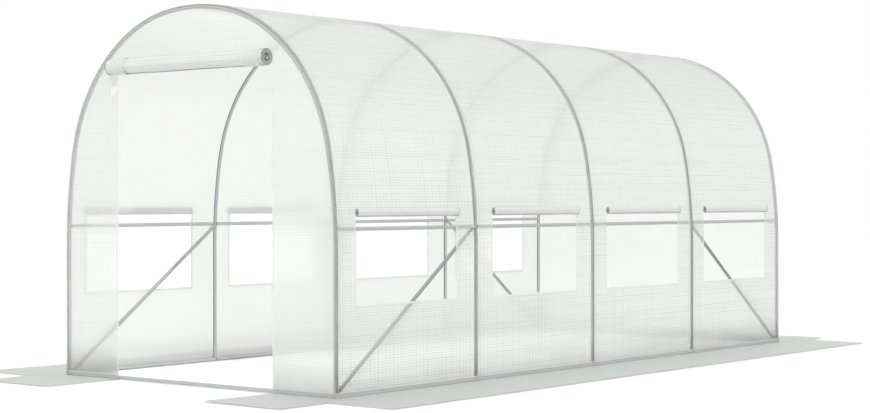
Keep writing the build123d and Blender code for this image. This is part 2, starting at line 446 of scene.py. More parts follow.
def woven(finish, cloth):
    """Where the mesh lies: weft and warp stripes, stronger and fainter from thread to thread."""
    threads = []
    for index, pitch, width, seed in ((1, WEFT_PITCH, WEFT_WIDTH, 1.7), (0, WARP_PITCH, WARP_WIDTH, 8.3)):
        coordinate = finish.axis(cloth, index)
        line = stripes(finish, coordinate, pitch, width, width / 4)
        number = finish.sum("FLOOR", finish.sum("DIVIDE", coordinate, pitch))
        chance = finish.put("ShaderNodeTexWhiteNoise", {"W": finish.sum("ADD", number, seed)}, "Value",
                            noise_dimensions="1D")
        threads.append(finish.times(line, finish.sum("MULTIPLY_ADD", chance, 0.35, 0.65)))
    return finish.sum("MAXIMUM", *threads)


def film_material(name, cell, thread, through, clear, shade=0.45, low=1.0, rim=None, crease_shade=0.0,
                  hoop_highlight=None):
    """Clear cells and a mesh: colours, and for both how much light is let and seen through.

    Shade is the share of light let through where the film casts its shadow. Low is the tone next
    to the ground: painted shade, the film and what is seen through it drawn darker towards the
    ground. A rim is a darker band of colour along a sheet's free edge. Crease shade is how
    strongly dark lines show that run along a roll: painted shade in its creases. Hoop highlight
    is the colour of the threads that lie on a hoop: a painted highlight, threads drawn lighter
    before the steel. The film's inner face is smooth and milky, so from inside the mesh and what
    lies outside show less, and from inside it is drawn darker higher up and under the crown:
    painted shade.
    """
    film = Finish(name)
    cloth, space = film.cloth(), film.space()
    height = film.axis(space, 2)
    inner_face = film.put("ShaderNodeNewGeometry", out="Backfacing")
    drawn_out = film.put("ShaderNodeMapping", {"Vector": cloth, "Scale": (3.0, 60.0, 1.0)})
    mesh = film.times(woven(film, cloth), film.sum("ADD", 0.50, film.noise(drawn_out, 1.0, 2.0)))
    mesh = film.times(mesh, film.where(inner_face, INSIDE_MESH))

    # Painted shade: from inside, the film is drawn darker higher up and under the crown.
    inner_shade = film.ramp(height, *INNER_SHADE_HEIGHTS, 1.0, INSIDE_TONE)
    under_crown = film.ramp(height, *CROWN_HEIGHTS, 1.0, CROWN_TONE)
    inner_tone = film.times(inner_face, film.times(inner_shade, under_crown))
    # Painted shade: the film is drawn darker towards the ground, and from inside by the tone above.
    painted_shade = film.ramp(height, 0.0, GROUND_SHADE_HEIGHT, low, 1.0)
    painted_shade = film.sum("MULTIPLY_ADD", painted_shade, film.rest(inner_face), inner_tone)
    tone = film.times(film.sum("MULTIPLY_ADD", film.noise(space, 7.0, 4.0), 0.06, 0.97), painted_shade)

    # Painted highlight: the threads that lie over a hoop are drawn lighter than elsewhere.
    if hoop_highlight:
        from_hoop = nearest(film, film.sum("SUBTRACT", film.axis(space, 1), HOOPS[0] - BAY / 2), BAY)
        thread = film.blend(film.ramp(from_hoop, TUBE / 2 + 0.003, TUBE / 2 - 0.001), thread, hoop_highlight)
    colour = film.blend(mesh, cell, thread)
    # Painted shade: dark lines along a roll, where shade falls in its creases.
    if crease_shade:
        fold = stripes(film, film.axis(cloth, 1), CREASE_PITCH, CREASE_WIDTH, CREASE_WIDTH / 3)
        colour = film.blend(film.times(fold, crease_shade), colour, CREASE_SHADE_COLOUR)
    # A darker band of colour along the sheet's free edge.
    if rim:
        edge = film.ramp(film.axis(film.cloth("rim"), 0), RIM_WIDTH * 1.3, RIM_WIDTH * 0.8)
        colour = film.blend(edge, colour, rim)
    colour = film.put("ShaderNodeHueSaturation", {"Color": colour, "Value": tone})
    relief = film.bump(mesh, 0.15, 0.0006)
    outside = film.body(colour, 0.42, relief, {"Specular IOR Level": 0.35})
    inside = film.put("ShaderNodeBsdfTranslucent", {"Color": colour, "Normal": relief})
    scattered = film.mix(film.ramp(mesh, 0.0, 1.0, *through), outside, inside)

    shadow = film.ray("Shadow")
    lit = film.rest(shadow)
    facing = film.put("ShaderNodeLayerWeight", {"Blend": 0.15}, "Facing")
    milky = film.times(film.ramp(height, 0.0, MILKY_HEIGHT, MILKY_LOW, MILKY),
                       film.ramp(height, *RAIL_HEIGHTS, 1.0, MILKY_HIGH))
    straight = film.times(film.ramp(mesh, 0.0, 1.0, *clear), film.rest(facing))
    straight = film.times(straight, film.where(film.times(inner_face, lit), milky))
    straight = film.times(straight, film.where(shadow, shade))
    # What is seen through the film is darkened by the same painted shade.
    tint = film.blend(painted_shade, (0, 0, 0), FILM_GREEN)
    sharp = film.put("ShaderNodeBsdfTransparent", {"Color": tint})
    blurred = film.put("ShaderNodeBsdfRefraction", {
        "Color": tint, "Roughness": HAZE_ROUGHNESS, "IOR": HAZE_IOR})
    seen_through = film.mix(film.times(HAZE, lit), sharp, blurred)
    return film.show(film.mix(straight, scattered, seen_through))


cover_film = film_material("cover_film", cell=(0.975, 0.985, 0.975), thread=(0.66, 0.68, 0.66),
                           through=(0.92, 0.45), clear=(0.96, 0.08), low=GROUND_SHADE_TONE, shade=0.70,
                           hoop_highlight=(0.95, 0.96, 0.95))
end_film = film_material("end_film", cell=(0.975, 0.985, 0.975), thread=(0.775, 0.795, 0.775),
                         through=(0.88, 0.62), clear=(0.94, 0.32), low=GROUND_SHADE_TONE, shade=0.60)
seam_film = film_material("seam_film", cell=(0.90, 0.915, 0.90), thread=(0.80, 0.815, 0.80),
                          through=(0.30, 0.30), clear=(0.10, 0.05))
flap_film = film_material("flap_film", cell=(0.715, 0.75, 0.712), thread=(0.675, 0.71, 0.672),
                          through=(0.35, 0.35), clear=(0.08, 0.02), rim=(0.50, 0.53, 0.50))
roll_film = film_material("roll_film", cell=(0.84, 0.865, 0.845), thread=(0.77, 0.795, 0.775),
                          through=(0.25, 0.25), clear=(0.12, 0.04), crease_shade=0.5)
door_film = film_material("door_film", cell=(0.89, 0.905, 0.89), thread=(0.81, 0.825, 0.81),
                          through=(0.20, 0.20), clear=(0.06, 0.03), crease_shade=0.4)
films = (cover_film, end_film, seam_film, flap_film, roll_film, door_film)
print("film materials:", [film.name for film in films])

# %% [markdown]
# ## How film hangs on hoops
# Film pulled over hoops is never quite flat. It dips a little between two hoops, and faint ripples
# run through it where it was folded in its box. The dip is a squared sine across each bay. The
# ripples are a sum of sine waves of mixed length and direction, drawn from a seeded generator so
# that they come out the same each time.

# %% Slack and ripples
DIP, WALL_DIP_SHARE = 0.006, 0.45
COVER_RIPPLE, CALM_HEIGHT = 0.0011, 0.15
WAVES = 14


def ripples(along, across, seed, height, shortest=0.12, longest=0.7, lean=0.5):
    """A sum of sine waves: each has its own length, direction and start."""
    draw = np.random.default_rng(seed)
    total = np.zeros(np.broadcast(along, across).shape)
    for length, turn, start in zip(draw.uniform(shortest, longest, WAVES),
                                   draw.normal(0, lean, WAVES), draw.uniform(0, 2 * np.pi, WAVES)):
        wave = 2 * np.pi / length
        total = total + np.sin(wave * (along * np.cos(turn) + across * np.sin(turn)) + start) * length
    return height * total / np.abs(total).max()


def bay_dip(y):
    """0 on a hoop and 1 in the middle of a bay: the squared sine of the place in the bay."""
    return np.sin(np.pi * (y - HOOPS[0]) / BAY) ** 2


def skin(girth, y, side, seed):
    """The film's points over the right or left half, from its flat place: length and y."""
    girth, y = np.broadcast_arrays(girth, y)
    line, out = arch_line(girth, FILM_OFF)
    rail_girth = girth_at(RAIL_HEIGHT)
    low = np.sin(np.pi * np.clip(girth / rail_girth, 0, 1)) ** 2 * WALL_DIP_SHARE
    high = np.sin(np.pi * np.clip((girth - rail_girth) / (HALF_GIRTH - rail_girth), 0, 1)) ** 2
    sag = DIP * bay_dip(y) * (low + high)
    calm = np.clip(girth / CALM_HEIGHT, 0, 1)
    wave = ripples(y, side * girth, seed, COVER_RIPPLE) * bay_dip(y) * calm
    line = line + out * (wave - sag)[..., None]
    return together(side * line[..., 0], y, line[..., 1])


print("bay", round(BAY, 4), "m, dip", DIP)

# %% [markdown]
# ## Roof and side walls
# The roof runs from one seam over the crown to the other. Below the seams hang the side walls,
# with four windows each. The columns of the grid go through the windows' edges, so a window is
# cut by leaving cells out. The left half mirrors the right one with its rows turned round, which
# keeps the faces pointing outwards.

# %% Cover
SIDES = {"left": -1, "right": 1}
ENDS = {"front": -1, "rear": 1}
SEAM_HEIGHT = 1.0
WINDOW_WIDTH, WINDOW_SHIFT = 0.800, -0.025
WINDOW_SILL, WINDOW_HEAD = 0.450, 0.905
SILL_GIRTH, HEAD_GIRTH = girth_at(WINDOW_SILL), girth_at(WINDOW_HEAD)
WINDOWS = HOOPS[:-1] + BAY / 2 + WINDOW_SHIFT
COVER_HALF_LENGTH = HALF_LENGTH + 0.0022
COVER_SEED = 3
CELL = 0.045

window_edges = [edge for y in WINDOWS for edge in (y - WINDOW_WIDTH / 2, y + WINDOW_WIDTH / 2)]
cover_columns = steps([-COVER_HALF_LENGTH, *HOOPS, *window_edges, COVER_HALF_LENGTH], CELL)


def outward(side, points, flat, kept=None):
    """Turns the columns round on the left half, so that faces point outwards there too."""
    if side > 0:
        return points, flat, kept
    return points[:, ::-1], flat[:, ::-1], None if kept is None else kept[:, ::-1]


def cover_half(low, high, side, windows=False):
    """One half of a sheet between two lengths from the ground: points, flat places, kept cells."""
    rows = steps([low, high] + ([SILL_GIRTH, HEAD_GIRTH] if windows else []), CELL)
    kept = None
    if windows:
        middle_y = (cover_columns[1:] + cover_columns[:-1]) / 2
        middle_girth = (rows[1:] + rows[:-1]) / 2
        by_width = (np.abs(middle_y[:, None] - WINDOWS) < WINDOW_WIDTH / 2).any(axis=1)
        by_height = (middle_girth > SILL_GIRTH) & (middle_girth < HEAD_GIRTH)
        kept = ~(by_height[:, None] & by_width)
    return outward(side, skin(rows[:, None], cover_columns, side, COVER_SEED),
                   together(cover_columns, side * rows[:, None]), kept)


seam = girth_at(SEAM_HEIGHT)
roof = make_piece("roof_film", [cover_half(seam, HALF_GIRTH, side) for side in (1, -1)],
                  cover_film, ["cover_roof"])
for side_name, side in SIDES.items():
    wall = make_piece(f"wall_film_{side_name}", [cover_half(0, seam, side, windows=True)],
                      cover_film, [f"cover_wall_{side_name}"])

# %% [markdown]
# ## End walls
# Each end is closed by a flat sheet under the arch. Its points lie on upright lines: for each
# place across the tunnel, the line runs from the ground to the arch above it. The front one is
# cut out for the doorway, so its lines are split at the door's head.

# %% End walls
DOOR_WIDTH, DOOR_HEAD = 1.150, 1.683
HALF_DOOR = DOOR_WIDTH / 2
WALL_OFF = 0.0012
WALL_RIPPLE = 0.0015
WALL_RIM = HALF_WIDTH - 0.0001


def arch_height(x):
    """Height of the film above each place across: read off the finely divided arch line."""
    line, _ = arch_line(np.linspace(0, HALF_GIRTH, 4000), 0)
    return np.interp(np.abs(x), line[::-1, 0], line[::-1, 1])


def wall_points(x, z, end, seed):
    """Points of an end wall, with ripples that fade out at the edge and on the ground."""
    edge = np.clip((arch_height(x) - z) / 0.12, 0, 1) * np.clip(z / 0.10, 0, 1)
    wave = ripples(z, x, seed, WALL_RIPPLE, lean=0.4) * edge
    y = end * (HALF_LENGTH + WALL_OFF) + end * wave
    return together(x, y, z), together(x, z)


def end_wall(end, seed, doorway):
    """The grids of an end wall: a lower and an upper field on each stretch between the marks."""
    grids = []
    for left, right in ((-WALL_RIM, -HALF_DOOR), (-HALF_DOOR, HALF_DOOR), (HALF_DOOR, WALL_RIM)):
        # The columns crowd towards the legs, where the arch falls away fast.
        spread = np.linspace(0, 1, 25)
        if right == WALL_RIM:
            spread = np.sin(spread * np.pi / 2)
        elif left == -WALL_RIM:
            spread = 1 - np.cos(spread * np.pi / 2)
        x = left + (right - left) * spread
        head = DOOR_HEAD / arch_height(HALF_DOOR) * arch_height(x)
        head = np.where(np.abs(x) <= HALF_DOOR + 1e-9, DOOR_HEAD, head)
        fields = [(head, arch_height(x), 8)]
        if not (doorway and left == -HALF_DOOR):
            fields.insert(0, (0 * x, head, 36))
        for bottom, top, count in fields:
            share = np.linspace(0, 1, count)[:, None]
            grids.append(outward(-end, *wall_points(x, bottom + (top - bottom) * share, end, seed)))
    return grids


heights = arch_height(np.linspace(0, HALF_WIDTH, 4000))
for end_name, seed, doorway in (("front", 11, True), ("rear", 12, False)):
    closing = make_piece(f"end_film_{end_name}", end_wall(ENDS[end_name], seed, doorway), end_film,
                         [f"end_wall_{end_name}"])

# %% [markdown]
# ## Rolled-up windows and door
# Each window is a panel of film rolled up outside its opening, and the door is a longer one. A
# roll is a spiral: as it turns, its radius grows evenly from the core to the outside. Real rolls
# are not round, so the radius also swells and shrinks a little along the length and round the
# turn. A window's roll lies flattened against the wall, so its depth is a bit over half its
# height. In a roll's end one looks between the turns, where hardly any light gets out: a disc
# with a spiral of light edges and dark gaps closes each end and shows this.

# %% Rolls
ROLL_SIZE, ROLL_OVERHANG, ROLL_FLATNESS = 0.044, 0.005, 0.58
DOOR_ROLL_SIZE, DOOR_ROLL_OVERHANG = 0.090, 0.005
ROLL_FILL = 0.965
ROLL_TURNS, ROLL_CORE = 4.75, 0.0045
DOOR_TURNS, DOOR_CORE, DOOR_HOLLOW = 8.75, 0.007, 0.014
RAGGED = 0.0008
DISC_INSET, HOLLOW_DEPTH = 0.0002, 0.010
ROLL_GAP = 0.001


def roll(length, size, turns, core, seed, per_turn=26, cells=24, flatness=1.0):
    """A rolled panel round its own axis: grids across, up and along it, flat places and width.

    The radius grows evenly with the angle, times what the swellings add. The turns' ends are
    ragged: each point of the first and last column is shifted a little along the roll.
    """
    angle = np.linspace(0, 2 * np.pi * turns, int(turns * per_turn) + 1)[:, None]
    along = np.linspace(-length / 2, length / 2, cells + 1)[None, :]
    swell = ripples(along, angle * 0.05, seed, 0.022, shortest=0.05, longest=0.5, lean=0.3)
    lumpy = ripples(along * 0.4, np.sin(angle) * 0.12 + np.cos(angle) * 0.09, seed + 1, 0.018,
                    shortest=0.1, longest=0.4, lean=1.2)
    radius = (core + (size / 2 * ROLL_FILL - core) * angle / angle[-1]) * (0.985 + swell + lumpy)
    across, up = radius * np.cos(angle) * flatness, radius * np.sin(angle)
    unrolled = walk(together(across[:, 0], up[:, 0]))
    at_end = np.abs(along) > length / 2 - 1e-6
    shift = RAGGED * np.sin(np.arange(len(angle))[:, None] * 1.9) * np.sign(along) * at_end
    along = along * (1 - 2 * RAGGED / length) + shift
    return (across, up, along), together(along, unrolled[:, None]), float(unrolled[-1])


def roll_end(length, size, hollow, flatness=1.0):
    """The disc in a roll's end: rings from the rim to the middle, set back within the hollow."""
    turn = np.linspace(0, 2 * np.pi, 49)[None, :]
    share = np.linspace(1, 0, 12)[:, None]
    radius = size / 2 * ROLL_FILL * share
    along = length / 2 - DISC_INSET - HOLLOW_DEPTH * (share < hollow / (size / 2))
    across, up = radius * np.cos(turn) * flatness, radius * np.sin(turn)
    return (across, up, along), together(turn / (2 * np.pi), radius)


def wound_edges(name, pitch, core, light, dark):
    """The end of a roll: light edges of film with dark gaps between, and a dark hollow core."""
    finish = Finish(name)
    turn, radius = (finish.axis(finish.cloth(), index) for index in (0, 1))
    wound = finish.sum("MULTIPLY_ADD", turn, pitch, radius)
    edge = stripes(finish, wound, pitch, pitch * 0.5, pitch * 0.2)
    edge = finish.times(edge, finish.sum("ADD", finish.noise(finish.space(), 90.0, 3.0), 0.45))
    # Painted shade: the gaps between the turns and the hollow core are drawn dark.
    solid = finish.ramp(radius, core * 0.8, core * 1.25)
    colour = finish.blend(solid, scaled(dark, 0.4), finish.blend(edge, dark, light))
    return finish.show(finish.body(colour, 0.6, finish.bump(edge, 0.6, 0.002)))


window_ends = wound_edges("window_roll_ends", 0.0042, 0.0060, (0.56, 0.565, 0.56), (0.16, 0.162, 0.16))
door_ends = wound_edges("door_roll_ends", 0.0062, 0.0190, (0.47, 0.48, 0.47), (0.17, 0.172, 0.17))
roll_depth = ROLL_SIZE / 2 * ROLL_FILL * ROLL_FLATNESS


def by_window(middle, y, side, grids, end=1):
    """A window roll's points, from its grids across, up and along."""
    across, up, along = grids
    return together(middle.x + side * across, y + end * along, middle.z + up)


def over_door(middle, grids, end=1):
    """The door roll's points, from its grids across, up and along."""
    across, up, along = grids
    return together(end * along, middle.y - across, middle.z + up)


for side_name, side in SIDES.items():
    for number, y in enumerate(WINDOWS, start=1):
        node = f"window_roll_{side_name}_{number}"
        low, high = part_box(node)
        middle = (low + high) / 2
        middle.x = side * (min(abs(low.x), abs(high.x)) + roll_depth + ROLL_GAP)
        length = WINDOW_WIDTH + 2 * ROLL_OVERHANG
        grids, flat, width = roll(length, ROLL_SIZE, ROLL_TURNS, ROLL_CORE, 20 + number,
                                  flatness=ROLL_FLATNESS)
        piece = make_piece(f"rolled_window_{side_name}_{number}",
                           [outward(side, by_window(middle, y, side, grids), flat)],
                           roll_film, [node])
        grids, flat = roll_end(length, ROLL_SIZE, ROLL_CORE, ROLL_FLATNESS)
        ends = [outward(side * end, by_window(middle, y, side, grids, end), flat) for end in (-1, 1)]
        make_piece(f"window_roll_ends_{side_name}_{number}", ends, window_ends)

low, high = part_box("door_roll")
door_middle = (low + high) / 2
door_length = DOOR_WIDTH + 2 * DOOR_ROLL_OVERHANG
grids, flat, width = roll(door_length, DOOR_ROLL_SIZE, DOOR_TURNS, DOOR_CORE, 41, per_turn=32, cells=40)
door = make_piece("rolled_door", [(over_door(door_middle, grids), flat, None)],
                  door_film, ["door_roll"])
grids, flat = roll_end(door_length, DOOR_ROLL_SIZE, DOOR_HOLLOW)
ends = [outward(end, over_door(door_middle, grids, end), flat) for end in (-1, 1)]
make_piece("door_roll_ends", ends, door_ends)

# %% [markdown]
# ## Ties on the door
# Two broad ties of the same film hold the rolled door. Each goes round the front of the roll, and
# the left one's spare end hangs down beside the doorway. A tie follows the roll a millimetre
# outside it, from behind its bottom to behind its top.

# %% Ties
TIE_WIDTH, TIE_LIFT = 0.115, 0.0011
TIE_FROM, TIE_TO = math.radians(-118), math.radians(112)
TIE_RADIUS = DOOR_ROLL_SIZE / 2 * ROLL_FILL * 1.012 + TIE_LIFT
TAIL_WIDTH, TAIL_LENGTH, TAIL_NARROWING = 0.060, 0.110, 0.25
TAIL_BACK, TAIL_SWING = 0.018, 0.006


def tie(middle_x, seed):
    """A band round the roll: radius times cosine and sine of an angle that skips the back."""
    angle = np.linspace(TIE_FROM, TIE_TO, 40)[:, None]
    x = middle_x + TIE_WIDTH / 2 * np.linspace(-1, 1, 14)[None, :]
    radius = TIE_RADIUS + ripples(x, angle * 0.1, seed, 0.0004)
    points = together(x, door_middle.y - radius * np.cos(angle), door_middle.z + radius * np.sin(angle))
    return points, together(x, angle * DOOR_ROLL_SIZE / 2), None


def tail(middle_x, seed):
    """The spare end: it hangs from the roll's underside and swings out in a slow wave."""
    down = np.linspace(0, 1, 16)[:, None]
    x = middle_x + TAIL_WIDTH / 2 * np.linspace(-1, 1, 10)[None, :] * (1 - TAIL_NARROWING * down)
    y = door_middle.y + TAIL_BACK + TAIL_SWING * np.sin(down * 4.0) + ripples(x, down * 0.2, seed, 0.0012)
    z = door_middle.z - DOOR_ROLL_SIZE / 2 * 0.90 - TAIL_LENGTH * down
    return together(x, y, z), together(x, z), None


tie_x = HALF_DOOR - TIE_WIDTH / 2 - 0.020
ties = make_piece("door_ties", [tie(-tie_x, 71), tie(tie_x, 72)], seam_film)
tie_tail = make_piece("door_tie_tail", [tail(-HALF_DOOR - 0.002, 73)], seam_film)

# %% [markdown]
# ## Hems
# A white tape is sewn round three sides of each window, where the film would tear. Its section
# is a flat dome, thickest in the middle, carried along each edge. Two rows of stitches run along
# it, drawn in the material from the tape's own flat place.

# %% Hems
HEM_WIDTH, HEM_RISE, HEM_LIFT = 0.011, 0.0012, 0.0024
SILL_LIFT = 0.0004
UP = np.array([0.0, 0.0, 1.0])
ALONG = np.array([0.0, 1.0, 0.0])


def sewn(finish, colour, roughness, relief):
    """Thick cloth: a solid surface through which a good half of the light glows."""
    glow = finish.put("ShaderNodeBsdfTranslucent", {"Color": colour})
    return finish.mix(0.55, finish.body(colour, roughness, relief), glow)


def tape_material(name, colour, stitch):
    """Woven white tape: fine ribs across, and dashes of thread near both edges."""
    finish = Finish(name)
    along, across = (finish.axis(finish.cloth(), index) for index in (0, 1))
    ribs = stripes(finish, along, 0.0016, 0.0008, 0.0003)
    from_row = finish.sum("ABSOLUTE", finish.sum("SUBTRACT", finish.sum("ABSOLUTE", across), 0.0038))
    dash = stripes(finish, along, 0.0042, 0.0028, 0.0003)
    thread = finish.times(finish.ramp(from_row, 0.0009, 0.0005), dash)
    colour = finish.blend(thread, finish.blend(ribs, colour, scaled(colour, 0.94)), stitch)
    relief = finish.bump(finish.sum("ADD", ribs, thread), 0.3, 0.0004)
    return finish.show(sewn(finish, colour, 0.75, relief))


white_tape = tape_material("white_tape", (0.86, 0.87, 0.86), (0.76, 0.78, 0.76))


def swept(path, across, out, shift, lift, flat_shift):
    """Rows of points along a path, each shifted across it and lifted out of it, and flat places."""
    across, out = (np.broadcast_to(way, path.shape)[:, None] for way in (across, out))
    points = path[:, None] + across * shift[..., None] + out * lift[..., None]
    return points, together(walk(path)[:, None], flat_shift)


def tape(path, across, out):
    """A hem along a path: a dome over its width, lifted along the outward direction."""
    share = np.linspace(-1, 1, 7)[None, :]
    shift = share * HEM_WIDTH / 2
    return swept(path, across, out, shift, HEM_RISE * (1 - share ** 2), shift)


def window_hem(y, side):
    """Three tapes round one window: up its front side, up its rear side and along its sill."""
    grids = []
    half = WINDOW_WIDTH / 2
    for sense in (-1, 1):
        line, out = arch_line(steps([SILL_GIRTH - HEM_WIDTH, HEAD_GIRTH], 0.03), FILM_OFF + HEM_LIFT)
        path = together(side * line[:, 0], y + sense * half + sense * HEM_WIDTH / 2, line[:, 1])
        grids.append(outward(side, *tape(path, ALONG, together(side * out[:, 0], 0.0, out[:, 1]))))
    path = together(side * (HALF_WIDTH + FILM_OFF + HEM_LIFT + SILL_LIFT),
                    steps([y - half - HEM_WIDTH, y + half + HEM_WIDTH], 0.04), WINDOW_SILL - HEM_WIDTH / 2)
    grids.append(outward(-side, *tape(path, UP, [side, 0, 0])))
    return grids


for side_name, side in SIDES.items():
    hems = make_piece(f"hem_tapes_{side_name}", [grid for y in WINDOWS for grid in window_hem(y, side)],
                      white_tape, [f"window_hems_{side_name}"])

# %% [markdown]
# ## Seams
# The end walls are sewn to the cover along the arch, with a doubled band that shows greyer than
# single film and two rows of coarse stitches. A like seam runs along the foot, where walls and
# flaps meet, and the doorway's uprights are bound. Each is a strip carried along its line, and
# its flat place gives the material the rows of stitches.

# %% Seams
ARCH_BAND, LEG_BAND, JAMB_BAND, FOOT_BAND = 0.027, 0.014, 0.012, 0.025
WIDENS_FROM, WIDENS_OVER = 0.9, 0.8
STITCH, STITCH_WIDTH = 0.0138, 0.0064
FOLD_SHADE = 0.2
SEAM_LIFT, SEAM_RISE, FOOT_RISE = 0.0024, 0.0008, 0.0006
SEAM_INSET = 0.0004
SEAM_START, FOOT_START, JAMB_GAP = 0.012, 0.0024, 0.01
SEAM_X, SEAM_Y = HALF_WIDTH + FILM_OFF + SEAM_LIFT, HALF_LENGTH + WALL_OFF + SEAM_LIFT


def stitched(name, colour, stitch, clear, rows, strength, edge=None):
    """Doubled film with rows of stitches: dashes at the given distances from the strip's middle.

    An edge is where the fold at the strip's foot begins, which lies in its own shade.
    """
    finish = Finish(name)
    along, across = (finish.axis(finish.cloth(), index) for index in (0, 1))
    near = 0.0
    for row in rows:
        away = finish.sum("ABSOLUTE", finish.sum("SUBTRACT", across, row))
        near = finish.sum("MAXIMUM", finish.ramp(away, STITCH_WIDTH * 0.65, STITCH_WIDTH * 0.35), near)
    dash = stripes(finish, along, STITCH, STITCH * 0.62, STITCH * 0.08)
    thread = finish.times(finish.times(dash, near), strength)
    if edge:
        fold = finish.ramp(across, -edge + 0.0008, -edge - 0.0008)
        thread = finish.sum("MAXIMUM", thread, finish.times(fold, FOLD_SHADE))
    colour = finish.blend(finish.noise(finish.space(), 60.0, 3.0), scaled(colour, 0.94), colour)
    colour = finish.blend(thread, colour, stitch)
    solid = sewn(finish, colour, 0.55, finish.bump(thread, 0.5, 0.0008))
    straight = finish.times(clear, finish.rest(thread))
    return finish.show(finish.mix(straight, solid, finish.put("ShaderNodeBsdfTransparent")))


def strip(path, across, out, width, rise):
    """A flat strip along a path, from its line to its width across, lifted off what is under it."""
    share = np.linspace(0, 1, 5)[None, :]
    return swept(path, across, out, share * width, rise * np.sin(np.pi * share) ** 0.5,
                 (share - 0.5) * np.max(width))


arch_seam = stitched("arch_seam", (0.88, 0.895, 0.88), (0.31, 0.313, 0.31), 0.30, (-0.0095, 0.0070), 0.95)
foot_seam = stitched("foot_seam", (0.88, 0.90, 0.88), (0.55, 0.56, 0.55), 0.0, (0.0025,), 0.8, edge=0.0108)
jamb_seam = stitched("jamb_seam", (0.92, 0.93, 0.92), (0.72, 0.73, 0.72), 0.35, (0.0,), 0.6)

for end_name, end in ENDS.items():
    path, out = whole_arch(steps([SEAM_START, *arch_lengths(0)], 0.04), -SEAM_INSET, end * SEAM_Y)
    width = LEG_BAND + (ARCH_BAND - LEG_BAND) * np.clip((path[:, 2:] - WIDENS_FROM) / WIDENS_OVER, 0, 1)
    band = make_piece(f"arch_seam_{end_name}",
                      [outward(end, *strip(path, -out, end * ALONG, width, SEAM_RISE))], arch_seam)
    # The band's inner edge is shorter than its line: a half turn takes half a circle off its area.
    lengths = np.diff(walk(path))
    area = float((lengths * (width[1:, 0] + width[:-1, 0]) / 2).sum()) - ARCH_BAND ** 2 / 2 * math.pi
    float(lengths.sum())

path = together(HALF_DOOR, -SEAM_Y, np.linspace(SEAM_START, DOOR_HEAD - JAMB_GAP, 40))
grids = [outward(-side, *strip(path * [side, 1, 1], [side, 0, 0], -ALONG, JAMB_BAND, SEAM_RISE))
         for side in (-1, 1)]
jambs = make_piece("jamb_seams", grids, jamb_seam)

grids = []
total = 0.0
corners = [(SEAM_X, -SEAM_Y), (SEAM_X, SEAM_Y), (-SEAM_X, SEAM_Y), (-SEAM_X, -SEAM_Y),
           (-HALF_DOOR, -SEAM_Y)]
for start, end in [*zip(corners, corners[1:]), ((HALF_DOOR, -SEAM_Y), corners[0])]:
    start, end = np.array([*start, FOOT_START]), np.array([*end, FOOT_START])
    run = np.linalg.norm(end - start)
    ahead = (end - start) / run
    path = start + ahead * (run * np.linspace(0, 1, max(2, int(run / 0.06))))[:, None]
    grids.append((*strip(path, UP, np.cross(ahead, UP), FOOT_BAND, FOOT_RISE), None))
    total += run
foot = make_piece("foot_seams", grids, foot_seam)

# %% [markdown]
# ## Ground flaps
# All round the foot of the tunnel the film runs out over the ground, where it is weighed down
# with earth or stones. Here it lies loose, so its surface waves by a few millimetres. Its free
# edges show a darker band of colour, the rim.

# %% Flaps
FLAP_REST, FLAP_WAVE = 0.0006, 0.0055
FLAP_CELL = 0.035
NOTCH_X, NOTCH_GAP = HALF_WIDTH + 0.0034, 0.0003


def flap_edges(marks):
    """The marks with two more just inside each end, so that the rim is drawn sharp."""
    return steps([*marks, min(marks) + RIM_WIDTH * 2, max(marks) - RIM_WIDTH * 2], FLAP_CELL)


def flap(name, x_marks, y_marks, seed, node, notch=None):
    """A sheet lying on the ground: a grid of places whose height is a ripple above the ground.

    Where a side flap already lies in the corner, the end flap's cells are left out.
    """
    x, y = np.broadcast_arrays(flap_edges(x_marks)[None, :], flap_edges(y_marks)[:, None])
    wave = ripples(x, y, seed, 0.5, shortest=0.15, longest=0.9, lean=1.5) + 0.5
    from_wall = np.abs(x) - HALF_WIDTH if notch is None else np.abs(y) - HALF_LENGTH
    z = FLAP_REST + FLAP_WAVE * wave * np.clip(from_wall / 0.1, 0, 1)
    kept = None
    size = (max(x_marks) - min(x_marks), max(y_marks) - min(y_marks))
    area = size[0] * size[1]
    if notch is not None:
        middle_x, middle_y = ((grid[1:, 1:] + grid[:-1, :-1]) / 2 for grid in (x, y))
        kept = ~((np.abs(middle_x) > NOTCH_X) & (np.abs(middle_y) < notch))
        corners = sum(abs(mark) > NOTCH_X + 1e-4 for mark in (min(x_marks), max(x_marks)))
        area -= corners * (max(np.abs(x_marks)) - NOTCH_X) * (notch - min(np.abs(y_marks)))
    rim = np.minimum(max(np.abs(x_marks)) - np.abs(x), max(np.abs(y_marks)) - np.abs(y))
    piece = make_piece(name, [(together(x, y, z), together(x, y), kept)], flap_film,
                       [node], rim)


for side_name, side in SIDES.items():
    low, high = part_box(f"flap_{side_name}")
    flap(f"side_flap_{side_name}", [low.x, high.x], [low.y, high.y], 50 + side, f"flap_{side_name}")
side_low, side_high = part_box("flap_right")
for end_name in ("front_left", "front_right", "rear"):
    low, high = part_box(f"flap_{end_name}")
    notch = abs(side_low.y) if high.y < 0 else side_high.y
    x_marks = sorted({low.x, high.x, *[x for x in (-NOTCH_X, NOTCH_X) if low.x < x < high.x]})
    y_marks = sorted({low.y, high.y, notch if low.y > 0 else -notch})
    flap(f"end_flap_{end_name}", x_marks, y_marks, 60 + len(end_name), f"flap_{end_name}",
         notch + NOTCH_GAP)

# %% [markdown]
# ## Steel
# The tubes are galvanised: a dull grey metal with a faint spangle and a slightly uneven gloss.
# The pattern is worked out in the object's own space, so it is the same on every tube.

# %% Zinc
ROUND = math.pi * TUBE
DARK_ZINC, LIGHT_ZINC = 0.85, 1.12


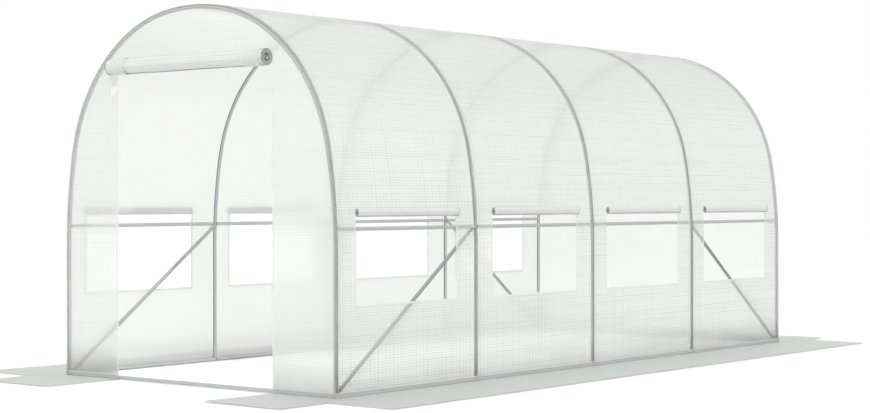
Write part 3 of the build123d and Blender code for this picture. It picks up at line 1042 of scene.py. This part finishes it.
def galvanised(name, base, outer=None, start=0.0):
    """Dull zinc: a metal whose colour and gloss vary with a fine and a coarse noise.

    Outer is the tone of a tube's outer side, which the near film keeps in shade: the cosine of
    the place round the tube, counted from start, tells how far a point looks outwards.
    """
    finish = Finish(name)
    space = finish.space()
    spangle = finish.put("ShaderNodeTexVoronoi", {"Vector": space, "Scale": 160.0}, "Distance")
    cloud = finish.noise(space, 9.0, 5.0)
    share = finish.sum("ADD", finish.times(spangle, 0.5), finish.times(cloud, 0.6))
    colour = finish.blend(share, scaled(base, DARK_ZINC), scaled(base, LIGHT_ZINC))
    if outer:
        shaded = finish.blend(share, scaled(outer, DARK_ZINC), scaled(outer, LIGHT_ZINC))
        turned = finish.sum("MULTIPLY_ADD", finish.axis(finish.cloth(), 1), 2 * math.pi / ROUND, start)
        colour = finish.blend(finish.ramp(finish.sum("COSINE", turned), -0.45, 0.30), colour, shaded)
    rough = finish.ramp(cloud, 0.0, 1.0, 0.50, 0.65)
    return finish.show(finish.body(colour, rough, finish.bump(spangle, 0.08, 0.0005), {"Metallic": 0.80}))


zinc = galvanised("galvanised_tube", (0.53, 0.535, 0.54))
rail_zinc = galvanised("galvanised_rail", (0.53, 0.535, 0.54), outer=(0.50, 0.505, 0.51))
brace_zinc = galvanised("galvanised_brace", (0.43, 0.435, 0.44), outer=(0.33, 0.333, 0.336),
                        start=math.pi / 2)
hoop_zinc = galvanised("galvanised_hoop", (0.48, 0.485, 0.49), outer=(0.11, 0.112, 0.114))
end_hoop_zinc = galvanised("galvanised_end_hoop", (0.48, 0.485, 0.49), outer=(0.26, 0.263, 0.266))
print("zinc:", [steel.name for steel in (zinc, rail_zinc, brace_zinc, hoop_zinc, end_hoop_zinc)])

# %% [markdown]
# ## Round tubes
# The solids have eight flat sides, which is enough to check the frame by. Here each tube is made
# round: a ring of points is carried along the tube's line, and both ends are drawn in to a point
# so that the tube is closed. A hoop's line is the arch line, half a tube inside the film.

# %% Tubes
RING = 24
TUBE_RADIUS = TUBE / 2
RIDGE_HEIGHT = CROWN_HEIGHT - TUBE_RADIUS
RAIL_X = float(arch_line(girth_at(RAIL_HEIGHT, 0), -TUBE_RADIUS)[0][0])
FOOT_GAP = 0.0003


def closed_tube(path, first, second, wide=TUBE_RADIUS, thick=TUBE_RADIUS, power=2.0):
    """Rings along a path: at each point, wide times cos and thick times sin along two directions.

    With a power above 2 the ring swells towards a rounded rectangle: both cos and sin are taken
    to the power 2 over that number, with their signs kept. The first and the last ring are
    repeated, drawn in to a point, which closes the ends.
    """
    twice = [0, *range(len(path)), len(path) - 1]
    opened = np.ones((len(twice), 1))
    opened[[0, -1]] = 0.0
    wide, thick, power = (np.broadcast_to(size, len(path))[twice][:, None] for size in (wide, thick, power))
    first, second = (np.broadcast_to(way, path.shape)[twice][:, None] for way in (first, second))
    turn = np.linspace(0, 2 * np.pi, RING + 1)
    cosine, sine = (np.sign(wave) * np.abs(wave) ** (2 / power) for wave in (np.cos(turn), np.sin(turn)))
    path = path[twice]
    points = (path[:, None] + (wide * opened * cosine)[..., None] * first
              + (thick * opened * sine)[..., None] * second)
    return points, together(walk(path)[:, None], np.linspace(0, ROUND, RING + 1)), None


def level_tube(start, end):
    """A round tube between two points at one height."""
    start, end = np.array(start), np.array(end)
    ahead = (end - start) / np.linalg.norm(end - start)
    return closed_tube(start + (end - start) * np.linspace(0, 1, 7)[:, None], np.cross(ahead, UP), -UP)


for node, y in zip(("hoop_1_front", "hoop_2", "hoop_3", "hoop_4", "hoop_5_rear"), HOOPS):
    path, out = whole_arch(steps([0.0, *arch_lengths(-TUBE_RADIUS)], 0.04), -TUBE_RADIUS, y)
    steel = end_hoop_zinc if y in (HOOPS[0], HOOPS[-1]) else hoop_zinc
    make_piece(f"round_{node}", [closed_tube(path, out, ALONG)], steel, [node])

bays = [(a + TUBE_RADIUS + FOOT_GAP, b - TUBE_RADIUS - FOOT_GAP) for a, b in zip(HOOPS, HOOPS[1:])]
for node, x, z in (("side_rail_left", -RAIL_X, RAIL_HEIGHT), ("side_rail_right", RAIL_X, RAIL_HEIGHT),
                   ("ridge_rail", 0.0, RIDGE_HEIGHT),
                   ("base_rail_left", TUBE_RADIUS - HALF_WIDTH, TUBE_RADIUS),
                   ("base_rail_right", HALF_WIDTH - TUBE_RADIUS, TUBE_RADIUS)):
    # The left side's lengths run the other way, so that their rings start at the outer side too.
    lengths = [level_tube(*[(x, y, z) for y in (bay if x > 0 else bay[::-1])]) for bay in bays]
    make_piece(f"round_{node}", lengths, rail_zinc if "side" in node else zinc, [node])
for node in ("base_rail_front", "base_rail_rear"):
    low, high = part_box(node)
    middle = (low + high) / 2
    make_piece(f"round_{node}", [level_tube((low.x, middle.y, middle.z), (high.x, middle.y, middle.z))],
               zinc, [node])

# %% [markdown]
# ## Braces
# A brace is the same tube with its ends pressed flat and rounded, and a bolt through each. Along
# its line the ring changes: from a half disc at the tip to a flat oblong, and over the taper to
# the round tube. The tip's width follows a circle.

# %% Braces
TAB_WIDTH, TAB_THICKNESS = 0.022, 0.003
TAB_LENGTH, TAPER_LENGTH = 0.042, 0.030
TAB_RADIUS = TAB_WIDTH / 2
TAB_POWER = 8.0
BOLT_HEAD, BOLT_RISE = 0.0065, 0.0045


def brace_sizes(along):
    """Half width, half thickness and power of the ring at each length from the tip."""
    tip = np.sqrt(np.clip(TAB_RADIUS ** 2 - np.clip(TAB_RADIUS - along, 0, TAB_RADIUS) ** 2, 0, None))
    share = np.clip((along - TAB_RADIUS - TAB_LENGTH) / TAPER_LENGTH, 0, 1)
    share = share * share * (3 - 2 * share)
    wide = np.where(along < TAB_RADIUS, tip, TAB_RADIUS + (TUBE_RADIUS - TAB_RADIUS) * share)
    thick = TAB_THICKNESS / 2 + (TUBE_RADIUS - TAB_THICKNESS / 2) * share
    return wide, thick, TAB_POWER + (2.0 - TAB_POWER) * share


def bolt_head(centre, normal):
    """A dome: rings that shrink as the cosine while the height grows as the sine."""
    angle = np.linspace(0, np.pi / 2, 6)
    path = centre + normal * (BOLT_RISE * np.sin(angle))[:, None]
    first = np.cross(normal, UP)
    radius = BOLT_HEAD * np.cos(angle)
    return closed_tube(path, first, np.cross(normal, first), radius, radius)


def brace(foot, head, side):
    """The tube between two bolts, and the two bolt heads on its inner face."""
    foot, head = np.array(foot), np.array(head)
    ahead = (head - foot) / np.linalg.norm(head - foot)
    half = np.linalg.norm(head - foot) / 2 + TAB_RADIUS
    taper = TAB_RADIUS + TAB_LENGTH + TAPER_LENGTH * np.linspace(0, 1, 9)
    marks = np.concatenate([np.linspace(0, 1, 7) ** 2 * TAB_WIDTH / 2, taper, [half]])
    along = np.concatenate([marks, (2 * half - marks)[-2::-1]])
    path = foot + ahead * (along - TAB_RADIUS)[:, None]
    inward = np.array([-side, 0.0, 0.0])
    inward = inward - ahead * inward.dot(ahead)
    inward = inward / np.linalg.norm(inward)
    sizes = brace_sizes(np.minimum(along, 2 * half - along))
    heads = [bolt_head(point + inward * TAB_THICKNESS / 2, inward) for point in (foot, head)]
    return [closed_tube(path, np.cross(inward, ahead), inward, *sizes), *heads]


BOLT_FROM_LEG = FOOT_GAP + TAB_THICKNESS / 2
inner_x = float(arch_line(girth_at(RAIL_HEIGHT + TAB_RADIUS, -TUBE), -TUBE)[0][0])
for end_name, end in ENDS.items():
    for side_name, side in SIDES.items():
        foot = (side * (HALF_WIDTH - TUBE - BOLT_FROM_LEG), end * (HALF_LENGTH - TAB_RADIUS),
                TAB_RADIUS + FOOT_GAP)
        head = (side * (inner_x - BOLT_FROM_LEG), end * HOOPS[-2], RAIL_HEIGHT)
        node = f"brace_{end_name}_{side_name}"
        make_piece(f"round_{node}", brace(foot, head, side), brace_zinc, [node])
